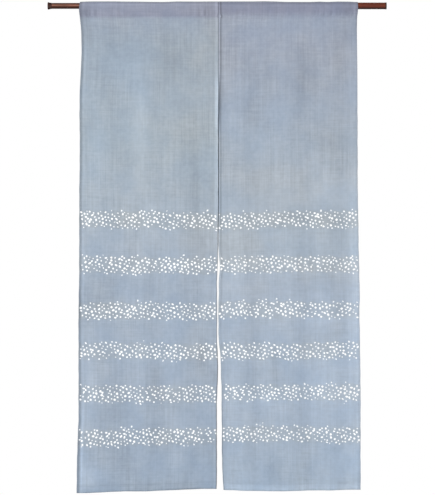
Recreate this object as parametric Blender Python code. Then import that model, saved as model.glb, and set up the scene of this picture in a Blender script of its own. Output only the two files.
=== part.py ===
"""Noren curtain: two cloth panels on a telescopic pole.

The origin is on the pole's axis, halfway along it. +X runs along the pole to the right of someone who
looks at the curtain's front, -Y points at them, and +Z is up.
"""

import math
from collections import namedtuple

import bmesh
import bpy
import numpy as np

# Sizes and tables are in millimetres, and MM turns them into the scene's metres.
MM = 0.001
GAP = 0.3

# Pole
POLE_LENGTH = 1040.0
POLE_SIDES = 48
OUTER_TUBE_RADIUS = 10.3
INNER_TUBE_RADIUS = 9.0
TUBE_MOUTH_X = -112.0
MOUTH_CHAMFER = 0.8
SOCKET_DEPTH = 60.0
SOCKET_RADIUS = INNER_TUBE_RADIUS + 0.55
FOOT_LENGTH = 13.0
FOOT_RADIUS = 11.2
FOOT_ROUNDING = 1.2
FOOT_LIP = 0.1
FOOT_FLARE_POWER = 1.6
FOOT_FLARE_STEPS = 4
CAP_LENGTH = 3.6
CAP_RADIUS = 10.8
CAP_ROUNDING = 0.8

# Cloth: one layer's thickness, and what a turned hem adds on the back
CLOTH = 1.2
HEM_EXTRA = 0.9
SIDE_HEM = 8.0
BOTTOM_HEM = 20.0
HEM_STEP = 0.8
COLUMNS_BETWEEN_HEMS = 19
ROWS_BETWEEN_HEMS = 29

# Pole pocket: the cloth goes over the pole, and the two layers meet at the stitch line.
STITCH_Z = -32.0
POCKET_TURN_EDGE_Z = -35.0
POCKET_FLOOR_Z = -31.0
POCKET_HALF_WIDTH = 10.85
POCKET_STEP_ANGLE = 22.5
POCKET_ARC_POINTS = 11
MOUTH_EASE = 1.6
MOUTH_EASE_REACH = 28.0
POCKET_SLACK = 1.6
POCKET_SLACK_WAVE = 150.0
HANGING_LENGTH = 1450.0

# Outline of the panels. Each edge is read at a height.
Edge = namedtuple("Edge", "z x")
LEFT_OUTER = (
    Edge(13, -420.0), Edge(-12, -424.5), Edge(-34, -421.5), Edge(-74, -417.2),
    Edge(-142, -415.8), Edge(-203, -418.6), Edge(-264, -421.8), Edge(-326, -421.8),
    Edge(-440, -420.4), Edge(-570, -423.0), Edge(-830, -423.4), Edge(-940, -425.5),
    Edge(-1210, -425.6), Edge(-1363, -429.2), Edge(-1490, -431.5),
)
LEFT_INNER = (
    Edge(13, 4.15), Edge(-260, 4.15), Edge(-330, 3.0), Edge(-600, 3.0), Edge(-780, 2.4),
    Edge(-810, 1.2), Edge(-845, -1.1), Edge(-890, 0.0), Edge(-1030, -0.2), Edge(-1100, 2.5),
    Edge(-1128, 2.7), Edge(-1155, 1.1), Edge(-1225, -1.0), Edge(-1424, -0.6), Edge(-1452, -0.3),
    Edge(-1484, -2.6),
)
RIGHT_INNER = (
    Edge(13, 4.45), Edge(-260, 4.45), Edge(-330, 1.8), Edge(-600, 1.8), Edge(-680, 2.6),
    Edge(-755, 4.2), Edge(-805, 9.6), Edge(-845, 5.0), Edge(-880, 5.4), Edge(-930, 4.0),
    Edge(-1015, 4.1), Edge(-1075, 10.6), Edge(-1140, 12.2), Edge(-1175, 14.2), Edge(-1200, 13.3),
    Edge(-1300, 14.8), Edge(-1345, 14.5), Edge(-1430, 16.0), Edge(-1468, 19.0), Edge(-1484, 19.7),
)
RIGHT_OUTER = (
    Edge(13, 431.0), Edge(-12, 433.0), Edge(-34, 430.5), Edge(-80, 429.6), Edge(-200, 430.6),
    Edge(-440, 431.3), Edge(-575, 431.6), Edge(-640, 433.2), Edge(-755, 434.6), Edge(-880, 437.2),
    Edge(-940, 436.6), Edge(-1060, 438.8), Edge(-1185, 440.4), Edge(-1360, 440.2), Edge(-1490, 440.7),
)

# Lowest and highest line of the cloth, read along the pole
Level = namedtuple("Level", "x z")
BOTTOM_EDGE = (
    Level(-431, -1496.4), Level(-360, -1493.9), Level(-295, -1491.4), Level(-200, -1489.2),
    Level(-145, -1487.4), Level(-110, -1484.6), Level(-3, -1481.9), Level(18, -1486.0),
    Level(73, -1487.7), Level(110, -1488.4), Level(150, -1490.4), Level(190, -1490.2),
    Level(225, -1488.4), Level(295, -1487.9), Level(377, -1486.0), Level(440, -1485.0),
)
TOP_EDGE = (
    Level(-420, 11.3), Level(-405, 13.4), Level(-385, 14.0), Level(-320, 14.0), Level(-286, 13.5),
    Level(-249, 13.3), Level(-212, 12.6), Level(-165, 12.1), Level(-125, 13.8), Level(-65, 13.5),
    Level(-28, 13.7), Level(60, 13.9), Level(110, 13.9), Level(145, 14.5), Level(180, 13.7),
    Level(210, 12.4), Level(285, 12.1), Level(315, 13.3), Level(340, 12.3), Level(370, 13.6),
    Level(405, 13.4), Level(425, 12.2),
)

# How far each panel's edge at the slit stands forward of the other cloth. The left one passes in
# front of the right one between the seam and the open part of the slit.
SlitEdge = namedtuple("SlitEdge", "z left right")
SLIT_FORWARD = (
    SlitEdge(-205, 0.0, 0.0), SlitEdge(-290, 3.6, -3.2), SlitEdge(-650, 3.6, -3.2),
    SlitEdge(-740, 2.0, -0.5), SlitEdge(-1000, 1.0, 2.0), SlitEdge(-1250, 4.0, -1.0),
    SlitEdge(-1484, 6.0, 1.0),
)
SLIT_REACH = 55.0

# Soft vertical waves. A wave runs from x_top under the pole to x_bottom at the hem, and stands
# forward by its depth, or back where the depth is negative.
Wave = namedtuple("Wave", "x_top x_bottom half_width depth")
WAVES = (
    Wave(-378, -392, 36, 5.0),
    Wave(-286, -300, 38, -6.0),
    Wave(-234, -222, 34, 6.5),
    Wave(-168, -172, 34, -5.0),
    Wave(-112, -108, 30, 4.5),
    Wave(-58, -44, 32, -5.0),
    Wave(34, 40, 26, -3.5),
    Wave(72, 88, 28, 5.0),
    Wave(118, 140, 28, -4.5),
    Wave(166, 178, 24, -2.5),
    Wave(218, 232, 38, 7.0),
    Wave(282, 296, 34, -6.0),
    Wave(346, 350, 34, 5.5),
    Wave(396, 398, 26, -3.5),
)
WAVE_AT_POCKET = 0.35
WAVE_FADE = 120.0

# Short slanting folds, each with its middle, its half length and half width, and its slant off upright
Crease = namedtuple("Crease", "x z half_length half_width slant depth")
CREASES = (
    Crease(-28, -1118, 80, 16, 12, -4.0),
    Crease(-182, -1140, 90, 22, -6, -3.0),
    Crease(-282, -1420, 90, 24, 8, -4.0),
    Crease(-26, -735, 60, 14, 35, -2.5),
    Crease(-398, -1440, 70, 18, 40, 4.0),
    Crease(60, -1400, 110, 20, -14, 4.5),
    Crease(330, -430, 120, 26, 5, -3.0),
    Crease(392, -1400, 110, 22, -20, 4.0),
)
EDGE_BLUR = 12.0
BLUR_SAMPLES = 5
PANEL_WIDTH = RIGHT_OUTER[0].x - RIGHT_INNER[0].x

# Edges of a smooth mesh that are sharper than these stay crisp.
CLOTH_SHARP_DEGREES = 50.0
POLE_SHARP_DEGREES = 35.0

Panel = namedtuple("Panel", "name left_edge right_edge slit_side")
LEFT_PANEL = Panel("panel_left", LEFT_OUTER, LEFT_INNER, "right")
RIGHT_PANEL = Panel("panel_right", RIGHT_INNER, RIGHT_OUTER, "left")


def read(table, key, value, at, blur=0.0):
    """The table's value column at a place in its key column, with its corners rounded by the blur."""
    rows = sorted(table, key=lambda row: getattr(row, key))
    keys = [getattr(row, key) for row in rows]
    values = [getattr(row, value) for row in rows]
    places = at + blur * np.linspace(-1.0, 1.0, BLUR_SAMPLES)
    return float(np.mean(np.interp(places, keys, values)))


def edge_x(edge, z):
    return read(edge, "z", "x", z, EDGE_BLUR)


def smooth_step(t):
    t = min(max(t, 0.0), 1.0)
    return t * t * (3.0 - 2.0 * t)


# Relief of the hanging cloth


def wave_forward(x, z):
    down = min(max((STITCH_Z - z) / HANGING_LENGTH, 0.0), 1.0)
    strength = WAVE_AT_POCKET + (1.0 - WAVE_AT_POCKET) * down
    total = 0.0
    for wave in WAVES:
        middle = wave.x_top + (wave.x_bottom - wave.x_top) * down
        total += wave.depth * math.exp(-(((x - middle) / wave.half_width) ** 2))
    return strength * total * smooth_step((STITCH_Z - z) / WAVE_FADE)


def crease_forward(x, z):
    total = 0.0
    for crease in CREASES:
        slant = math.radians(crease.slant)
        across = (x - crease.x) * math.cos(slant) + (z - crease.z) * math.sin(slant)
        along = (z - crease.z) * math.cos(slant) - (x - crease.x) * math.sin(slant)
        away = (across / crease.half_width) ** 2 + (along / crease.half_length) ** 2
        total += crease.depth * math.exp(-away)
    return total


def slit_forward(panel, x, z):
    """The panel's own swing near the slit, on top of the waves that run on across it."""
    edge = panel.right_edge if panel.slit_side == "right" else panel.left_edge
    column = "left" if panel.slit_side == "right" else "right"
    away = (x - edge_x(edge, z)) / SLIT_REACH
    return read(SLIT_FORWARD, "z", column, z, EDGE_BLUR) * math.exp(-away * away)


def front_y(panel, x, z):
    forward = wave_forward(x, z) + crease_forward(x, z) + slit_forward(panel, x, z)
    return -CLOTH - forward


# Cloth panels


def column_shares():
    """Where the columns stand across a panel, as shares of its width, with a step at each side hem."""
    hem = SIDE_HEM / PANEL_WIDTH
    step = HEM_STEP / PANEL_WIDTH
    between = np.linspace(hem + step, 1.0 - hem - step, COLUMNS_BETWEEN_HEMS)
    return [0.0, hem, *map(float, between), 1.0 - hem, 1.0]


def side_hem_extra(share):
    inside = min(share, 1.0 - share) * PANEL_WIDTH
    return HEM_EXTRA if inside < SIDE_HEM + 0.5 * HEM_STEP else 0.0


def panel_x(panel, share, z):
    left = edge_x(panel.left_edge, z)
    right = edge_x(panel.right_edge, z)
    return left + share * (right - left)


def pocket_ring(panel, share, extra):
    """The layer over the pole, as pairs of an outer and an inner (y, z), from front stitch to back."""
    x = panel_x(panel, share, 0.0)
    ease = MOUTH_EASE * math.exp(-(((x - TUBE_MOUTH_X) / MOUTH_EASE_REACH) ** 2))
    half_width = POCKET_HALF_WIDTH + ease
    crown = read(TOP_EDGE, "x", "z", x) - CLOTH
    slack = POCKET_SLACK * (0.5 + 0.5 * math.sin(2.0 * math.pi * x / POCKET_SLACK_WAVE))
    arc = []
    for i in range(POCKET_ARC_POINTS):
        angle = math.radians((i - 1) * POCKET_STEP_ANGLE)
        height = crown if math.sin(angle) > 0.0 else half_width
        inner = (-half_width * math.cos(angle), height * math.sin(angle))
        outer = (-(half_width + CLOTH) * math.cos(angle), (height + CLOTH) * math.sin(angle))
        arc.append((outer, inner))
    floor = (0.0, POCKET_FLOOR_Z)
    front = ((-CLOTH, STITCH_Z), floor)
    back = ((CLOTH + extra, STITCH_Z), floor)
    return [front, halfway(arc[0], front, -slack), *arc, halfway(arc[-1], back, 0.0), back]


def halfway(one, other, shift):
    """The pair halfway between two pairs, shifted along y."""
    return tuple(
        (0.5 * (a[0] + b[0]) + shift, 0.5 * (a[1] + b[1])) for a, b in zip(one, other)
    )


def flat_rows(panel, share, extra):
    """The hanging part of a column, as (z, thickness) from the stitch line down to the bottom edge."""
    bottom = read(BOTTOM_EDGE, "x", "z", panel_x(panel, share, BOTTOM_EDGE[0].z), EDGE_BLUR)
    doubled = CLOTH + HEM_EXTRA + extra
    rows = [(POCKET_TURN_EDGE_Z, 2.0 * CLOTH + extra)]
    top = POCKET_TURN_EDGE_Z - HEM_STEP
    hem_top = bottom + BOTTOM_HEM
    for z in np.linspace(top, hem_top + HEM_STEP, ROWS_BETWEEN_HEMS):
        rows.append((float(z), CLOTH + extra))
    rows.append((hem_top, doubled))
    rows.append((bottom, doubled))
    return rows


def panel_column(mesh, panel, share):
    """Makes one column's points. Returns the ring of outer points and the ring round the pole."""
    extra = side_hem_extra(share)
    pairs = pocket_ring(panel, share, extra)
    outer = []
    inner = []
    for (outer_y, outer_z), (inner_y, inner_z) in pairs:
        x = panel_x(panel, share, outer_z)
        outer.append(mesh.verts.new((x * MM, outer_y * MM, outer_z * MM)))
        inner.append((x, inner_y, inner_z))
    inner_points = [mesh.verts.new((x * MM, y * MM, z * MM)) for x, y, z in inner[:-1]]
    fronts = []
    backs = []
    for z, thickness in flat_rows(panel, share, extra):
        x = panel_x(panel, share, z)
        y = front_y(panel, x, z)
        fronts.append(mesh.verts.new((x * MM, y * MM, z * MM)))
        backs.append(mesh.verts.new((x * MM, (y + thickness) * MM, z * MM)))
    return outer, inner_points, fronts, backs


def strip(mesh, one, other, closed=False):
    """Faces between two rows of as many points."""
    count = len(one)
    for i in range(count if closed else count - 1):
        j = (i + 1) % count
        mesh.faces.new((one[i], one[j], other[j], other[i]))


def close_end(mesh, column):
    """Fills a column's cross-section at a side edge of the panel."""
    outer, inner, fronts, backs = column
    strip(mesh, outer, [*inner, inner[0]])
    mesh.faces.new((outer[0], inner[0], outer[-1]))
    strip(mesh, [outer[0], *fronts], [outer[-1], *backs])


def cloth_panel(panel, material):
    mesh = bmesh.new()
    columns = [panel_column(mesh, panel, share) for share in column_shares()]
    for one, other in zip(columns, columns[1:]):
        skins = []
        for outer, _, fronts, backs in (one, other):
            skins.append([*reversed(fronts), *outer, *backs])
        strip(mesh, skins[0], skins[1], closed=True)
        strip(mesh, one[1], other[1], closed=True)
    close_end(mesh, columns[0])
    close_end(mesh, columns[-1])
    return finish(panel.name, mesh, material, CLOTH_SHARP_DEGREES)


# Pole pieces


def turned(name, profile, material):
    """A piece turned about the X axis from (x, radius) points, the first and last of them on the axis."""
    mesh = bmesh.new()
    rings = []
    for x, radius in profile[1:-1]:
        ring = []
        for i in range(POLE_SIDES):
            angle = 2.0 * math.pi * (i + 0.5) / POLE_SIDES
            y = radius * math.sin(angle)
            z = radius * math.cos(angle)
            ring.append(mesh.verts.new((x * MM, y * MM, z * MM)))
        rings.append(ring)
    for one, other in zip(rings, rings[1:]):
        strip(mesh, one, other, closed=True)
    mesh.faces.new(rings[0])
    mesh.faces.new(rings[-1])
    return finish(name, mesh, material, POLE_SHARP_DEGREES)


def rounded_rim(x_inside, x_face, radius, rounding):
    """The rim of an end face as three points of a quarter round."""
    way = 1.0 if x_face > x_inside else -1.0
    points = []
    for step in range(3):
        angle = math.radians(45.0 * step)
        x = x_face - way * rounding * (1.0 - math.sin(angle))
        points.append((x, radius - rounding * (1.0 - math.cos(angle))))
    return points


def pole_outer(material):
    """The thicker tube, with the socket that the thinner one slides into."""
    end = 0.5 * POLE_LENGTH - CAP_LENGTH - GAP
    floor = TUBE_MOUTH_X + SOCKET_DEPTH
    profile = [
        (floor, 0.0),
        (floor, SOCKET_RADIUS),
        (TUBE_MOUTH_X, SOCKET_RADIUS),
        (TUBE_MOUTH_X + MOUTH_CHAMFER, OUTER_TUBE_RADIUS),
        (end, OUTER_TUBE_RADIUS),
        (end, 0.0),
    ]
    return turned("pole_outer", profile, material)


def pole_inner(material):
    start = -0.5 * POLE_LENGTH + FOOT_LENGTH + GAP
    end = TUBE_MOUTH_X + SOCKET_DEPTH - GAP
    profile = [
        (start, 0.0),
        (start, INNER_TUBE_RADIUS),
        (end, INNER_TUBE_RADIUS),
        (end, 0.0),
    ]
    return turned("pole_inner", profile, material)


def pole_foot(material):
    """A soft foot that flares out from the thinner tube towards its end face."""
    face = -0.5 * POLE_LENGTH
    neck = face + FOOT_LENGTH
    neck_radius = INNER_TUBE_RADIUS + FOOT_LIP
    flare_length = FOOT_LENGTH - 2.0 * FOOT_ROUNDING
    profile = [(neck, 0.0)]
    for step in range(FOOT_FLARE_STEPS + 1):
        along = step / FOOT_FLARE_STEPS
        radius = neck_radius + (FOOT_RADIUS - neck_radius) * along**FOOT_FLARE_POWER
        profile.append((neck - flare_length * along, radius))
    profile += rounded_rim(neck, face, FOOT_RADIUS, FOOT_ROUNDING)
    profile.append((face, 0.0))
    return turned("pole_foot_left", profile, material)


def pole_cap(material):
    face = 0.5 * POLE_LENGTH
    base = face - CAP_LENGTH
    profile = [(base, 0.0), (base, CAP_RADIUS)]
    profile += rounded_rim(base, face, CAP_RADIUS, CAP_ROUNDING)
    profile.append((face, 0.0))
    return turned("pole_cap_right", profile, material)


# Objects and materials


def finish(name, mesh, material, sharp_degrees):
    bmesh.ops.recalc_face_normals(mesh, faces=mesh.faces)
    data = bpy.data.meshes.new(name)
    mesh.to_mesh(data)
    mesh.free()
    data.materials.append(material)
    data.shade_smooth()
    data.set_sharp_from_angle(angle=math.radians(sharp_degrees))
    node = bpy.data.objects.new(name, data)
    bpy.context.scene.collection.objects.link(node)
    return node


def plain_material(name, colour, roughness, metallic=0.0):
    material = bpy.data.materials.new(name)
    material.use_nodes = True
    shader = material.node_tree.nodes["Principled BSDF"]
    shader.inputs["Base Color"].default_value = (*colour, 1.0)
    shader.inputs["Roughness"].default_value = roughness
    shader.inputs["Metallic"].default_value = metallic
    return material


def main():
    for old in list(bpy.data.objects):
        bpy.data.objects.remove(old, do_unlink=True)
    cloth_left = plain_material("cloth_left", (0.38, 0.45, 0.52), 0.92)
    cloth_right = plain_material("cloth_right", (0.37, 0.43, 0.50), 0.92)
    outer_brown = plain_material("pole_red_brown", (0.16, 0.045, 0.03), 0.42)
    inner_brown = plain_material("pole_brown", (0.18, 0.08, 0.06), 0.42)
    foot_dark = plain_material("foot_dark", (0.045, 0.02, 0.015), 0.6)
    cap_dark = plain_material("cap_dark", (0.03, 0.015, 0.01), 0.55)
    cloth_panel(LEFT_PANEL, cloth_left)
    cloth_panel(RIGHT_PANEL, cloth_right)
    pole_outer(outer_brown)
    pole_inner(inner_brown)
    pole_foot(foot_dark)
    pole_cap(cap_dark)


main()
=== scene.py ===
"""Noren curtain: the hanging cloth with its sewing and printed dots, and the finish of its pole.

Tables are in millimetres and in the solids' frame. The origin is on the pole's axis, halfway along it.
+X runs along the pole to the right of someone who looks at the front, -Y points at them, and +Z is up.
"""

import math
from collections import namedtuple

import bpy
import numpy as np
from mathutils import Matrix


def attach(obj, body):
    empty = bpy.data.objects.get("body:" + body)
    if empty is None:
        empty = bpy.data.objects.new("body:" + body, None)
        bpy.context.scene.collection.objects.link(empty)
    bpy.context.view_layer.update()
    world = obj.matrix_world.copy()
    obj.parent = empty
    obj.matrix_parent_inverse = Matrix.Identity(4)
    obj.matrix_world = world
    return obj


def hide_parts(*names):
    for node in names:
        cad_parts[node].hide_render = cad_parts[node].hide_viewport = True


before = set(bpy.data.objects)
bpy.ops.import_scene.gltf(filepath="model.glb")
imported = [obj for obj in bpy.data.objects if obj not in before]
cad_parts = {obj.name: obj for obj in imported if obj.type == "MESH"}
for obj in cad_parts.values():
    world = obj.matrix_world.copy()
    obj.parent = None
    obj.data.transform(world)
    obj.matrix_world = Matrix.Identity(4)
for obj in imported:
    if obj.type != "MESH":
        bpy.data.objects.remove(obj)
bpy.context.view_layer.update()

MM = 0.001
SEED = 7

# Pole, as in the solids
TUBE_MOUTH_X = -112.0

# Cloth: the solids' front face stands this far in front of the middle plane.
CLOTH = 1.2
SHEET = 0.55
SIDE_HEM = 8.0
BOTTOM_HEM = 20.0
HEM_EXTRA = 1.0
HEM_STITCH_INSET = 7.0
BOTTOM_STITCH_UP = 18.4
EDGE_UNEVENNESS = 0.45

# Pole pocket
STITCH_Z = -32.0
POCKET_HALF_WIDTH = 10.85
MOUTH_EASE = 1.6
MOUTH_EASE_REACH = 28.0
POCKET_SLACK = 1.6
POCKET_SLACK_WAVE = 150.0
POCKET_ARC_START = -20.0
POCKET_ARC_END = 200.0
LAYER_GAP = 0.08
HANGING_LENGTH = 1450.0

# Outline of the panels. Each edge is read at a height.
Edge = namedtuple("Edge", "z x")
LEFT_OUTER = [Edge(*row) for row in (
    (13, -420.0), (-12, -424.5), (-34, -421.5), (-74, -417.2), (-142, -415.8),
    (-203, -418.6), (-264, -421.9), (-326, -422.4), (-440, -421.3), (-570, -423.0),
    (-830, -423.4), (-940, -425.5), (-1180, -425.3), (-1270, -425.4), (-1363, -429.2),
    (-1490, -431.5),
)]
LEFT_INNER = [Edge(*row) for row in (
    (13, 4.15), (-260, 4.15), (-330, 3.0), (-600, 3.0), (-780, 2.4),
    (-810, 1.2), (-845, -1.1), (-890, 0.0), (-1030, -0.2), (-1100, 3.0),
    (-1128, 3.1), (-1155, 1.3), (-1225, -1.0), (-1424, -0.6), (-1452, -0.3),
    (-1484, -2.6),
)]
RIGHT_INNER = [Edge(*row) for row in (
    (13, 4.45), (-260, 4.45), (-330, 1.8), (-600, 1.8), (-680, 2.6),
    (-755, 4.2), (-805, 9.6), (-845, 5.0), (-880, 5.4), (-930, 4.0),
    (-1015, 4.1), (-1075, 10.6), (-1140, 12.2), (-1175, 14.2), (-1200, 13.3),
    (-1300, 14.8), (-1345, 14.5), (-1430, 16.0), (-1468, 19.0), (-1484, 19.7),
)]
RIGHT_OUTER = [Edge(*row) for row in (
    (13, 431.0), (-12, 433.0), (-34, 429.7), (-80, 429.1), (-200, 430.6),
    (-440, 431.3), (-575, 431.6), (-640, 433.2), (-755, 434.6), (-880, 438.0),
    (-940, 436.6), (-1060, 438.8), (-1185, 440.4), (-1360, 440.2), (-1490, 440.7),
)]

# Lowest and highest line of the cloth, read along the pole
Level = namedtuple("Level", "x z")
BOTTOM_EDGE = [Level(*row) for row in (
    (-431, -1495.8), (-360, -1493.5), (-295, -1491.4), (-200, -1489.2), (-145, -1487.4),
    (-110, -1484.6), (-3, -1481.9), (18, -1486.0), (73, -1487.7), (110, -1488.4),
    (150, -1490.4), (190, -1490.2), (225, -1488.4), (295, -1487.9), (377, -1486.0),
    (440, -1485.0),
)]
TOP_EDGE = [Level(*row) for row in (
    (-420, 12.8), (-405, 13.6), (-385, 14.0), (-320, 14.0), (-286, 13.5), (-249, 13.3),
    (-212, 12.6), (-165, 12.1), (-125, 13.8), (-65, 13.5), (-28, 13.7), (60, 13.9),
    (110, 13.9), (145, 14.5), (180, 13.7), (210, 12.4), (285, 12.1), (315, 13.3),
    (340, 12.3), (370, 13.6), (405, 13.4), (425, 12.2),
)]

# How far each panel's edge at the slit stands forward of the other cloth
SlitEdge = namedtuple("SlitEdge", "z left right")
SLIT_FORWARD = [SlitEdge(*row) for row in (
    (-205, 0.0, 0.0), (-290, 3.6, -3.2), (-345, 3.6, -3.2), (-400, 2.6, -1.6),
    (-620, 2.6, -1.6), (-740, 2.0, -0.5), (-1000, 1.0, 2.0), (-1250, 4.0, -1.0),
    (-1484, 6.0, 1.0),
)]
SLIT_REACH = 55.0
SEAM_END_Z = -205.0
TUCK_WIDTH = 2.0
TUCK_BACK = 1.9
TUCK_REACH = 6.5
TUCK_END_Z = -350.0
TUCK_END_RUN = 30.0
TUCK_BACK_RUN = 5.0
TUCK_UNDER_RUN = 5.0
JOIN_OFFSET = 0.8
JOIN_REACH = 14.0

# Soft vertical waves, from x_top under the pole to x_bottom at the hem. A positive depth is forward.
Wave = namedtuple("Wave", "x_top x_bottom half_width depth")
WAVES = [Wave(*row) for row in (
    (-378, -392, 36, 5.0), (-286, -300, 38, -6.0), (-234, -222, 34, 6.5), (-168, -172, 34, -5.0),
    (-112, -108, 30, 4.5), (-58, -44, 32, -5.0), (34, 40, 26, -3.5), (72, 88, 28, 5.0),
    (118, 140, 28, -4.5), (166, 178, 24, -2.5), (218, 232, 38, 7.0), (282, 296, 34, -6.0),
    (346, 350, 34, 5.5), (396, 398, 26, -3.5),
)]
WAVE_AT_POCKET = 0.35
WAVE_FADE = 120.0

# Short slanting folds: the middle, half the length and width, the slant off upright, and the depth
Crease = namedtuple("Crease", "x z half_length half_width slant depth")
CREASES = [Crease(*row) for row in (
    (-28, -1118, 80, 16, 12, -4.0), (-182, -1140, 90, 22, -6, -3.0), (-282, -1420, 90, 24, 8, -4.0),
    (-26, -735, 60, 14, 35, -2.5), (-398, -1440, 70, 18, 40, 4.0), (60, -1400, 110, 20, -14, 4.5),
    (330, -430, 120, 26, 5, -3.0), (392, -1400, 110, 22, -20, 4.0),
)]
# Small folds that the solids leave out
SMALL_CREASES = [Crease(*row) for row in (
    (-170, -215, 42, 9, -8, -1.3), (-92, -150, 60, 12, 24, 1.1), (-40, -92, 34, 8, 30, 1.2),
    (-56, -520, 120, 12, 2, -1.4), (-24, -240, 60, 8, -4, 0.9), (-230, -250, 110, 11, 3, 1.2),
    (118, -230, 80, 14, 2, -1.3), (270, -250, 90, 14, -3, -1.4), (96, -400, 90, 12, 4, -1.2),
    (330, -470, 70, 12, -8, -1.1), (-380, -1395, 60, 9, 52, 1.4), (-330, -1452, 44, 8, 62, 1.1),
    (-60, -1400, 70, 9, -30, -1.3), (404, -1290, 60, 10, -38, 1.3), (52, -1330, 60, 9, 26, -1.1),
    (150, -1420, 70, 11, -18, 1.2), (30, -900, 55, 8, 12, 1.2), (420, -760, 90, 8, 4, 1.3),
    (-290, -1120, 70, 11, -10, -1.1), (210, -1150, 60, 10, 12, -1.2),
)]
SOFT_RIPPLES = 46
SOFT_RIPPLE_DEPTH = 0.45
EDGE_BLUR = 12.0
BLUR_SAMPLES = 9
PANEL_WIDTH = RIGHT_OUTER[0].x - RIGHT_INNER[0].x

# Small gathers that the stitch line makes in the pocket
Gather = namedtuple("Gather", "x half_length depth")
GATHERS = [Gather(*row) for row in (
    (-398, 26, 1.1), (-340, 30, 0.5), (-225, 50, 0.35), (-42, 34, 1.1), (60, 40, 0.45),
    (190, 46, 0.35), (300, 30, 0.7), (366, 44, 1.0),
)]
GATHER_PERIODS = (9.6, 13.0, 17.5, 24.0)
GATHER_REACH_DOWN = 16.0
GATHER_STRENGTH = 0.6
SMALL_FOLD_FADE = 40.0
STITCH_DENT = 0.4

# Stations of the mesh, in distances from an edge or from the stitch line
EDGE_STATIONS = (0.0, 0.35, 1.0, 2.4, 4.2, 5.8, 6.6, 7.0, 7.5, 8.1, 9.2, 11.2)
BOTTOM_STATIONS = (0.0, 0.35, 1.0, 3.2, 7.0, 11.0, 15.0, 17.4, 18.4, 19.2, 20.2, 21.6, 24.0)
STITCH_STATIONS = (8.0, 5.0, 3.0, 1.8, 0.9, 0.0)
COLUMNS_BETWEEN = 116
ROWS_BETWEEN = 268
STRAIGHT_ROWS = 9
ARC_STEP = 11.0
POCKET_TAIL = (0.9, 2.0, 3.2, 3.7, 4.0)
RIM_SQUEEZE = (0.3, 0.8)

# Stitches
STITCH_LENGTH = 2.5
STITCH_PITCH = 3.2
STITCH_THICKNESS = 0.42
STITCH_SIDES = 6
STITCH_WANDER = 0.16
SEAM_STITCH_LENGTH = 3.4
SEAM_STITCH_PITCH = 4.5
SEAM_STITCH_TOP_Z = -46.0

# The last two numbers are how near the middle of a dot comes to the left and the right edge.
Panel = namedtuple("Panel", "name left_edge right_edge slit_side u_start unprinted_left unprinted_right")
LEFT_PANEL = Panel("cloth_panel_left", LEFT_OUTER, LEFT_INNER, "right", 0.0, 5.6, 3.4)
RIGHT_PANEL = Panel("cloth_panel_right", RIGHT_INNER, RIGHT_OUTER, "left", 600.0, 3.6, 3.4)

# Printed bands of dots: the height of each band's middle line at three places of each panel
Band = namedtuple("Band", "height left_end left_middle left_slit right_slit right_middle right_end")
BANDS = [Band(*row) for row in (
    (-657, -655, -657, -663, -663, -657, -653),
    (-795, -792, -797, -798, -797, -793, -793),
    (-936, -935, -937, -940, -932, -930, -937),
    (-1059, -1056, -1060, -1065, -1061, -1063, -1052),
    (-1189, -1188, -1193, -1191, -1187, -1185, -1188),
    (-1321, -1329, -1323, -1320, -1317, -1313, -1320),
)]
BAND_HALF_HEIGHT = 25.0
DOT_PITCH = 11.9
DOT_RADIUS = 2.62
DOT_SOFTNESS = 0.35
DOT_SHAKE = 0.47
SMALLEST_DOT = 0.66
LARGEST_DOT = 1.36
FAINTEST_DOT = 0.84
SHARE_PRINTED = 0.97
ROW_RISE = math.sqrt(0.75)
LAYOUT_TURN = 17.0

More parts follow.
